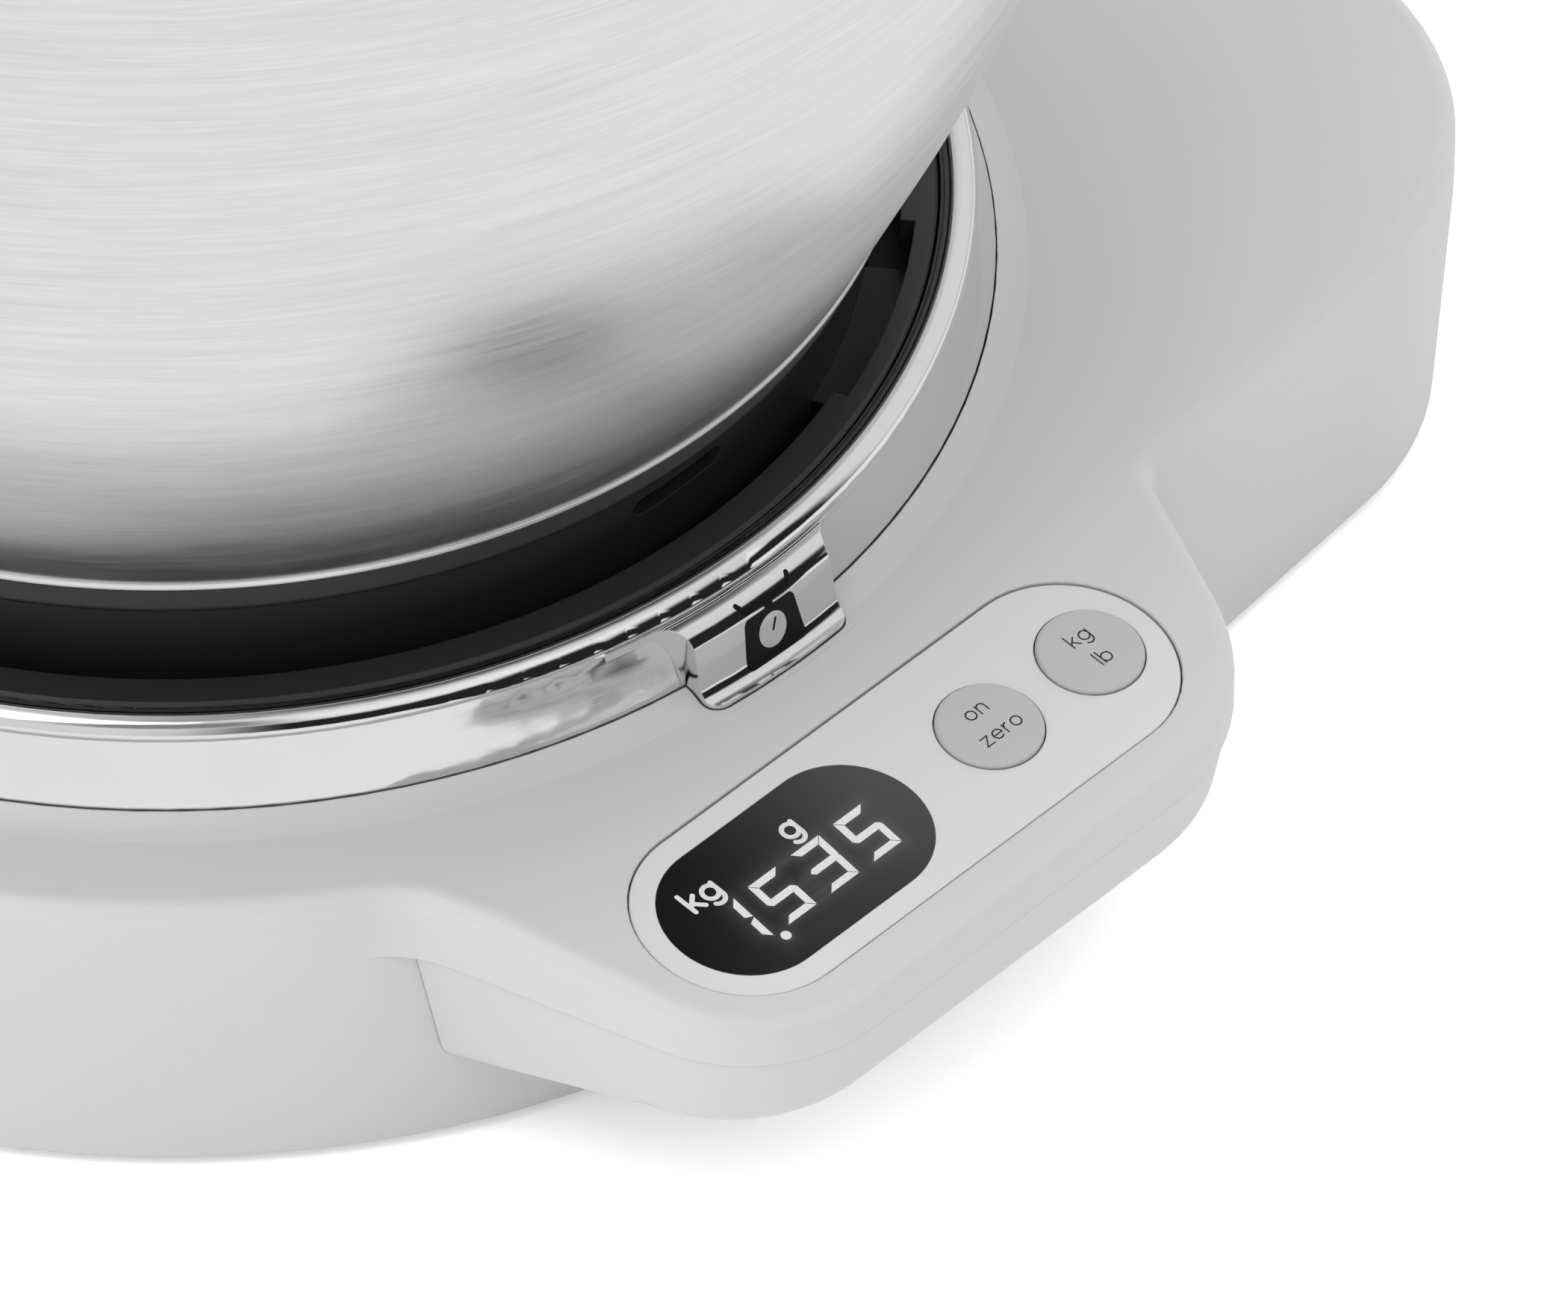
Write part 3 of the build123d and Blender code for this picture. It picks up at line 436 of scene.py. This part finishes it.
def word(text, size, stroke):
    """A word's strokes in mm, centred on its own middle, standing on v = 0."""
    cursor, strokes = 0.0, []
    for letter in text:
        lines, width = LETTERS[letter]
        strokes += [[((x + cursor) * size, y * size) for x, y in line] for line in lines]
        cursor += width + LETTER_GAP
    middle = (cursor - LETTER_GAP) * size / 2
    vertices, faces = [], []
    for line in strokes:
        found, sides = ribbon([(x - middle, y) for x, y in line], stroke / 2)
        base = len(vertices)
        vertices += found
        faces += [tuple(base + i for i in side) for side in sides]
    return vertices, faces


def legend(name, text, origin, u, v, size, stroke, material, body, lift=0.03):
    """A printed word in the panel's plane, u and v in mm from an origin."""
    vertices, faces = word(text, size, stroke)
    spots = [on_panel(origin, (u + p.x) * MM, (v + p.y) * MM, lift * MM) for p in vertices]
    return piece(name, spots, faces, material.material, body)


# ---------------------------------------------------------------- display

DIGIT_H = 7.9
DIGIT_W = 5.3
DIGIT_T = 1.08
DIGIT_PITCH = 7.95
DIGIT_SLANT = 0.085
SEGMENT_GAP = 0.07
SEGMENTS = {"1": "bc", "3": "abcdg", "5": "acdfg"}
READING = "1535"


def segment(letter):
    """One bar of a seven-segment digit, upright, with mitred ends."""
    h, w, t, g = DIGIT_H, DIGIT_W, DIGIT_T, SEGMENT_GAP
    m = h / 2
    bars = {
        "a": [(g, h), (w - g, h), (w - t - g, h - t), (t + g, h - t)],
        "d": [(g, 0), (t + g, t), (w - t - g, t), (w - g, 0)],
        "g": [(g, m), (t * 0.6, m + t / 2), (w - t * 0.6, m + t / 2), (w - g, m),
              (w - t * 0.6, m - t / 2), (t * 0.6, m - t / 2)],
        "f": [(0, h - g), (t, h - t - g), (t, m + t / 2 + g), (0, m + g)],
        "b": [(w, h - g), (w, m + g), (w - t, m + t / 2 + g), (w - t, h - t - g)],
        "c": [(w, m - g), (w, g), (w - t, t + g), (w - t, m - t / 2 - g)],
    }
    return [(x + y * DIGIT_SLANT, y) for x, y in bars[letter]]


DISPLAY = top_centre("display_window")
DIGITS_LEFT = -15.45     # left foot of the first digit, from the window's middle
DIGITS_FOOT = -5.81
POINT_SPOT = (-8.99, -6.82)
POINT_R = 0.73
WINDOW_HALF = 9.66       # half the length of the window's straight sides
WINDOW_DEPTH = 1.8
WINDOW_RINGS = 44
WINDOW_AROUND = 160
# How far light leaks into the glass round the bars: (strength, reach in mm) of each halo.
LEAK_HALOS = ((0.030, 0.8), (0.012, 3.0))


def digit_polygons():
    """Every lit bar, in mm from the window's middle."""
    found = []
    for place, digit in enumerate(READING):
        left = DIGITS_LEFT + place * DIGIT_PITCH
        for letter in SEGMENTS[digit]:
            found.append([(left + x, DIGITS_FOOT + y) for x, y in segment(letter)])
    found.append(arc(*POINT_SPOT, POINT_R, 0, 345, 23))
    return found


def display_digits():
    vertices, faces = [], []
    for polygon in digit_polygons():
        base = len(vertices)
        vertices += [on_panel(DISPLAY, x * MM, y * MM, 0.03 * MM) for x, y in polygon]
        faces.append(tuple(range(base, base + len(polygon))))
    return piece("display_digits", vertices, faces, LIT.material, "base")


def window_outline():
    """The window's stadium outline, in metres from its middle."""
    half = WINDOW_HALF * MM
    low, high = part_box("display_window")
    radius = (high.x - low.x) / 2 - half
    outline = []
    for i in range(WINDOW_AROUND):
        angle = 2 * math.pi * i / WINDOW_AROUND
        shift = half if math.cos(angle) > 0 else -half
        outline.append((shift + radius * math.cos(angle), radius * math.sin(angle)))
    return outline


def window_glass():
    """The display's window as a fine slab, so the light leak and the painted sheen can fade across it."""
    outline = window_outline()
    vertices, faces = [], []
    for ring in range(WINDOW_RINGS + 1):
        share = 1 - ring / WINDOW_RINGS
        vertices += [on_panel(DISPLAY, x * share, y * share, 0.0) for x, y in outline]
    for ring in range(WINDOW_RINGS):
        here, inside = ring * WINDOW_AROUND, (ring + 1) * WINDOW_AROUND
        for i in range(WINDOW_AROUND):
            j = (i + 1) % WINDOW_AROUND
            faces.append((here + i, here + j, inside + j, inside + i))
    base = len(vertices)
    vertices += [on_panel(DISPLAY, x, y, -WINDOW_DEPTH * MM) for x, y in outline]
    for i in range(WINDOW_AROUND):
        j = (i + 1) % WINDOW_AROUND
        faces.append((i, base + i, base + j, j))
    faces.append(tuple(range(base + WINDOW_AROUND - 1, base - 1, -1)))
    made = piece("display_glass", vertices, faces, MATERIALS["display_dark"].material, "base")
    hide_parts("display_window")
    paint_leak_and_painted_sheen(made)
    return made


def distance_to_bars(points):
    """Distance in mm from each point to the nearest lit bar's edge line."""
    nearest = np.full(len(points), 1e9)
    for polygon in digit_polygons():
        ring = np.array(polygon)
        for a, b in zip(ring, np.roll(ring, -1, axis=0)):
            run = b - a
            share = np.clip(((points - a) @ run) / max(run @ run, 1e-9), 0, 1)
            nearest = np.minimum(nearest, np.linalg.norm(points - (a + share[:, None] * run), axis=1))
    return nearest


def paint_leak_and_painted_sheen(made):
    """Writes how much light leaks at each vertex of the glass, plus a painted sheen that grows towards one
    end.
    """
    spots = [v.co - DISPLAY for v in made.data.vertices]
    flat = np.array([(p.dot(PANEL_U) / MM, p.dot(PANEL_V) / MM) for p in spots])
    near = distance_to_bars(flat)
    glow = sum(strength * np.exp(-near / reached) for strength, reached in LEAK_HALOS)
    # Painted sheen: the glass glows more towards one end, standing in for light falling on the window.
    across = 0.055 * np.clip((flat[:, 0] + 0.5 * flat[:, 1] + 8) / 34, 0, 1) ** 1.5
    leak_and_painted_sheen = made.data.attributes.new("leak_and_painted_sheen", "FLOAT", "POINT")
    leak_and_painted_sheen.data.foreach_set("value", (glow + across).astype(np.float32))


# ---------------------------------------------------------------- bowl

BOWL_T = 1.0
# Points on the outer side, as radius and height above the bowl's underside.
BOWL_SIDE = ((96.1, 1.8), (103.1, 17.1), (109.3, 31.1), (116.6, 52.1), (122.6, 79.1),
             (126.0, 112.1), (127.0, 146.1))
BOWL_FOOT_SLOPE = 0.46   # radius gained per height, at the foot and at the top
BOWL_TOP_SLOPE = 0.02
BOWL_RIM_R = 1.7
BOWL_TURNS = 288


def side_curve(points, per_span=10):
    """A smooth curve (cubic Hermite spans) through (radius, height) points, heights rising."""
    radii, heights = (np.array(values) for values in zip(*points))
    slopes = np.gradient(radii, heights)
    slopes[0] = BOWL_FOOT_SLOPE
    slopes[-1] = BOWL_TOP_SLOPE
    found = []
    for i in range(len(points) - 1):
        rise = heights[i + 1] - heights[i]
        for t in np.linspace(0, 1, per_span, endpoint=False):
            start = (1 + 2 * t) * (1 - t) ** 2
            start_slope = t * (1 - t) ** 2
            end = t * t * (3 - 2 * t)
            end_slope = t * t * (t - 1)
            radius = (start * radii[i] + start_slope * rise * slopes[i]
                      + end * radii[i + 1] + end_slope * rise * slopes[i + 1])
            found.append((radius, heights[i] + t * rise))
    return found + [points[-1]]


def bowl_profile():
    """The bowl's closed section, in mm above its own underside, from the middle of the bottom outwards."""
    foot = BOWL_SIDE[0][0]
    bottom = [(r, 0.0) for r in (0.02, 20, 40, 60, 80, foot - 1.2)]
    bead = [(foot - 0.8, 0.06), (foot - 0.35, 0.25), (foot, 0.6), (foot + 0.12, 1.1),
            (foot + 0.06, 1.5)]
    outer = side_curve(BOWL_SIDE)
    top_r, top_z = BOWL_SIDE[-1]
    roll = arc(top_r + 0.9, top_z + 0.3, BOWL_RIM_R, -120, 230, 28)
    inner = [(r - BOWL_T, z) for r, z in reversed(outer[1:])]
    heel = [(foot - 1.0, 1.7), (foot - 1.9, 1.2), (foot - 4.0, BOWL_T)]
    inside = [(r, BOWL_T) for r in (80, 60, 40, 20, 0.02)]
    return bottom + bead + outer + roll + inner + heel + inside


def turned_bowl():
    """The bowl as a fine turned surface, in place of the CAD mesh."""
    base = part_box("bowl")[0].z
    section = bowl_profile()
    count = len(section)
    vertices = []
    for turn in range(BOWL_TURNS):
        angle = 2 * math.pi * turn / BOWL_TURNS
        vertices += [(r * MM * math.cos(angle), r * MM * math.sin(angle), base + z * MM) for r, z in section]
    faces = []
    for turn in range(BOWL_TURNS):
        here, after = turn * count, (turn + 1) % BOWL_TURNS * count
        faces += [(here + i, after + i, after + i + 1, here + i + 1) for i in range(count - 1)]
    made = piece("bowl_steel_shell", vertices, faces, MATERIALS["bowl_steel"].material, "bowl", smooth=True)
    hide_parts("bowl")
    return made


# ---------------------------------------------------------------- symbol on the collar's tab

SYMBOL_ANGLE = -91.2     # where on the collar the symbol stands
SYMBOL_TILT = 30.0       # it is drawn as seen from this far above the horizon
SYMBOL_FOOT_Z = 50.0     # height of its lower edge
SYMBOL_CELL = 0.12       # size of the grid that follows the metal
SYMBOL_LIFT = 0.03
SYMBOL_HALF_W = 5.4      # the grid's half width, and its reach below and above the foot
SYMBOL_BELOW = 0.3
SYMBOL_ABOVE = 10.4
SYMBOL_RAY = 50.0        # how far outside the metal the film's points start


def box_distance(x, y, half_x, half_y, radius):
    """Distance outside a rounded box centred on the origin; negative inside."""
    dx, dy = np.abs(x) - half_x + radius, np.abs(y) - half_y + radius
    return np.hypot(np.maximum(dx, 0), np.maximum(dy, 0)) + np.minimum(np.maximum(dx, dy), 0) - radius


def stroke_distance(x, y, start, end, half):
    """Distance outside a round-ended stroke."""
    run = (end[0] - start[0], end[1] - start[1])
    share = ((x - start[0]) * run[0] + (y - start[1]) * run[1]) / (run[0] ** 2 + run[1] ** 2)
    share = np.clip(share, 0, 1)
    return np.hypot(x - start[0] - share * run[0], y - start[1] - share * run[1]) - half


def symbol_distance(x, y):
    """A kitchen scale as a sign: body, dial, pointer, neck and a pan with turned-up ends. In mm."""
    narrow = 1 - 0.030 * (y - 3.6)
    body = box_distance(x / narrow, y - 3.6, 4.9, 3.6, 0.9)
    dial = np.hypot(x, y - 3.7) - 2.45
    pointer = stroke_distance(x, y, (0.05, 3.6), (0.75, 5.0), 0.16)
    neck = box_distance(x, y - 7.6, 0.75, 0.8, 0.05)
    pan = stroke_distance(x, y, (-3.9, 8.3), (3.9, 8.3), 0.36)
    for side in (-1, 1):
        pan = np.minimum(pan, stroke_distance(x, y, (side * 3.9, 8.3), (side * 4.6, 9.6), 0.36))
    return np.minimum.reduce([np.maximum(body, -dial), pointer, neck, pan])


def collar_surface():
    mesh = frame["nodes"]["chrome_collar"].data
    return BVHTree.FromPolygons([v.co for v in mesh.vertices], [tuple(p.vertices) for p in mesh.polygons])


def collar_symbol():
    """The sign as a thin printed film that follows the tab's surface."""
    surface = collar_surface()
    angle, tilt = math.radians(SYMBOL_ANGLE), math.radians(SYMBOL_TILT)
    out = Vector((math.cos(angle), math.sin(angle), 0))
    across = Vector((-math.sin(angle), math.cos(angle), 0))
    up = Vector((0, 0, math.cos(tilt))) - out * math.sin(tilt)
    towards = out * math.cos(tilt) + Vector((0, 0, math.sin(tilt)))
    front = -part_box("chrome_collar")[0].y
    foot = out * front + Vector((0, 0, SYMBOL_FOOT_Z * MM))
    xs = np.arange(-SYMBOL_HALF_W, SYMBOL_HALF_W + SYMBOL_CELL, SYMBOL_CELL)
    ys = np.arange(-SYMBOL_BELOW, SYMBOL_ABOVE, SYMBOL_CELL)
    grid_x, grid_y = np.meshgrid(xs, ys)
    vertices, faces = [], []
    for polygon in traced_cells(grid_x, grid_y, symbol_distance(grid_x, grid_y)):
        spots = []
        for x, y in polygon:
            start = foot + across * (x * MM) + up * (y * MM) + towards * (SYMBOL_RAY * MM)
            hit, normal = surface.ray_cast(start, -towards)[:2]
            if hit is None:
                break
            spots.append(hit + normal * (SYMBOL_LIFT * MM))
        else:
            faces.append(tuple(range(len(vertices), len(vertices) + len(spots))))
            vertices += spots
    return piece("collar_symbol", vertices, faces, SYMBOL_INK.material, "base")


def traced_cells(grid_x, grid_y, distance):
    """The grid's cells cut to where the distance is negative."""
    found = []
    for row in range(grid_x.shape[0] - 1):
        for column in range(grid_x.shape[1] - 1):
            corners = [(row, column), (row, column + 1), (row + 1, column + 1), (row + 1, column)]
            values = [distance[c] for c in corners]
            if min(values) >= 0:
                continue
            spots = [(grid_x[c], grid_y[c]) for c in corners]
            polygon = []
            for i in range(4):
                here, after = values[i], values[(i + 1) % 4]
                if here < 0:
                    polygon.append(spots[i])
                if (here < 0) != (after < 0):
                    share = here / (here - after)
                    ahead = spots[(i + 1) % 4]
                    polygon.append(tuple(a + (b - a) * share for a, b in zip(spots[i], ahead)))
            if len(polygon) > 2:
                found.append(polygon)
    return found


# ---------------------------------------------------------------- light, floor, camera

VIEW_AZIMUTH = -46.65
VIEW_ELEVATION = 43.38
VIEW_TARGET = Vector((23.6, -86.9, 15.7)) * MM
VIEW_DISTANCE = 2.5
VIEW_LENS = 436.3
FLOOR_HALF = 6.0         # metres
LIGHT_AIM = Vector((0, 0, 0.08))

STUDIO_LOW = 1.7
STUDIO_TOP = 2.5
STUDIO_MIRRORED = 0.42   # how much of that the polished parts see
STUDIO_SIDE_BLUR = 8     # how softly a panel ends: in degrees sideways, in the sine of elevation upwards
STUDIO_TOP_BLUR = 0.06
# Directions of the studio's parts, in degrees: azimuth from and to (anticlockwise from +X), elevation from
# and to, brightness.
STUDIO_PANELS = (
    (-180, -140, 0, 60, 2.4),
    (-130, -40, -20, 36, 0.06),
    (-155, -122, 40, 66, 0.8),
    (-118, -60, 42, 68, 3.0),
    (-40, 30, 5, 60, 2.4),
)


def direction(azimuth, elevation):
    """A unit vector from the object towards a viewer at that azimuth and elevation."""
    a, e = math.radians(azimuth), math.radians(elevation)
    return Vector((math.sin(a) * math.cos(e), -math.cos(a) * math.cos(e), math.sin(e)))


def camera():
    data = bpy.data.cameras.new("camera")
    data.lens = VIEW_LENS
    data.sensor_width = 36.0
    data.clip_start = 0.1
    data.clip_end = 50.0
    made = bpy.data.objects.new("camera", data)
    back = direction(VIEW_AZIMUTH, VIEW_ELEVATION)
    made.location = VIEW_TARGET + back * VIEW_DISTANCE
    made.rotation_mode = "QUATERNION"
    made.rotation_quaternion = (-back).to_track_quat("-Z", "Y")
    bpy.context.scene.collection.objects.link(made)
    bpy.context.scene.camera = made


def floor():
    corners = [(FLOOR_HALF * x, FLOOR_HALF * y, 0) for x, y in ((-1, -1), (1, -1), (1, 1), (-1, 1))]
    mesh = bpy.data.meshes.new("floor")
    mesh.from_pydata(corners, [], [(0, 1, 2, 3)])
    mesh.materials.append(plain_floor("floor").material)
    made = bpy.data.objects.new("floor", mesh)
    bpy.context.scene.collection.objects.link(made)


def softbox(name, azimuth, elevation, distance, width, height, power):
    data = bpy.data.lights.new(name, "AREA")
    data.shape = "RECTANGLE"
    data.size = width
    data.size_y = height
    data.energy = power
    made = bpy.data.objects.new(name, data)
    away = direction(azimuth, elevation)
    made.location = LIGHT_AIM + away * distance
    made.rotation_mode = "QUATERNION"
    made.rotation_quaternion = away.to_track_quat("Z", "Y")
    bpy.context.scene.collection.objects.link(made)


def sky():
    """A bright white studio: a big soft light above and to the left, a dark gap low at the front."""
    world = bpy.data.worlds.new("studio")
    bpy.context.scene.world = world
    world.use_nodes = True
    g = Tree(world.node_tree)
    background = g.node("ShaderNodeBackground")
    g.link(background.outputs["Background"], g.node("ShaderNodeOutputWorld").inputs["Surface"])
    split = g.node("ShaderNodeSeparateXYZ")
    g.link(g.node("ShaderNodeTexCoord").outputs["Generated"], split.inputs["Vector"])
    height = split.outputs["Z"]
    around = g.maths("ARCTAN2", split.outputs["Y"], split.outputs["X"])
    light = g.spread(height, 0.0, 1.0, STUDIO_LOW, STUDIO_TOP)
    for low, high, foot, head, level in STUDIO_PANELS:
        wide = g.between(around, math.radians(low), math.radians(high), math.radians(STUDIO_SIDE_BLUR))
        tall = g.between(height, math.sin(math.radians(foot)), math.sin(math.radians(head)), STUDIO_TOP_BLUR)
        cover = g.maths("MULTIPLY", wide, tall)
        light = g.maths("MULTIPLY_ADD", cover, g.maths("SUBTRACT", level, light), light)
    mirrored = g.node("ShaderNodeLightPath").outputs["Is Glossy Ray"]
    dimmed = g.spread(mirrored, 0.0, 1.0, 1.0, STUDIO_MIRRORED)
    g.link(g.maths("MULTIPLY", light, dimmed), background.inputs["Strength"])


def main():
    for node in frame["nodes"]:
        dress(node)
    turned_bowl()
    window_glass()
    display_digits()
    legend("display_kg", "kg", DISPLAY, -12.30, 3.59, 2.25, 0.68, LIT, "base")
    legend("display_g", "g", DISPLAY, 4.25, 3.94, 2.25, 0.68, LIT, "base")
    collar_symbol()
    zero, unit = top_centre("zero_button"), top_centre("unit_button")
    legend("legend_on", "on", zero, 0.2, 1.8, 1.5, 0.2, INK, "zero_button")
    legend("legend_zero", "zero", zero, 0.36, -2.66, 1.5, 0.2, INK, "zero_button")
    legend("legend_kg", "kg", unit, 0.4, 1.5, 1.5, 0.2, INK, "unit_button")
    legend("legend_lb", "lb", unit, 0.5, -2.95, 1.5, 0.2, INK, "unit_button")
    floor()
    sky()
    softbox("key", -95, 60, 1.6, 1.1, 0.9, 6.0)
    camera()
    scene = bpy.context.scene
    scene.view_settings.view_transform = "Standard"
    scene.view_settings.look = "None"


main()
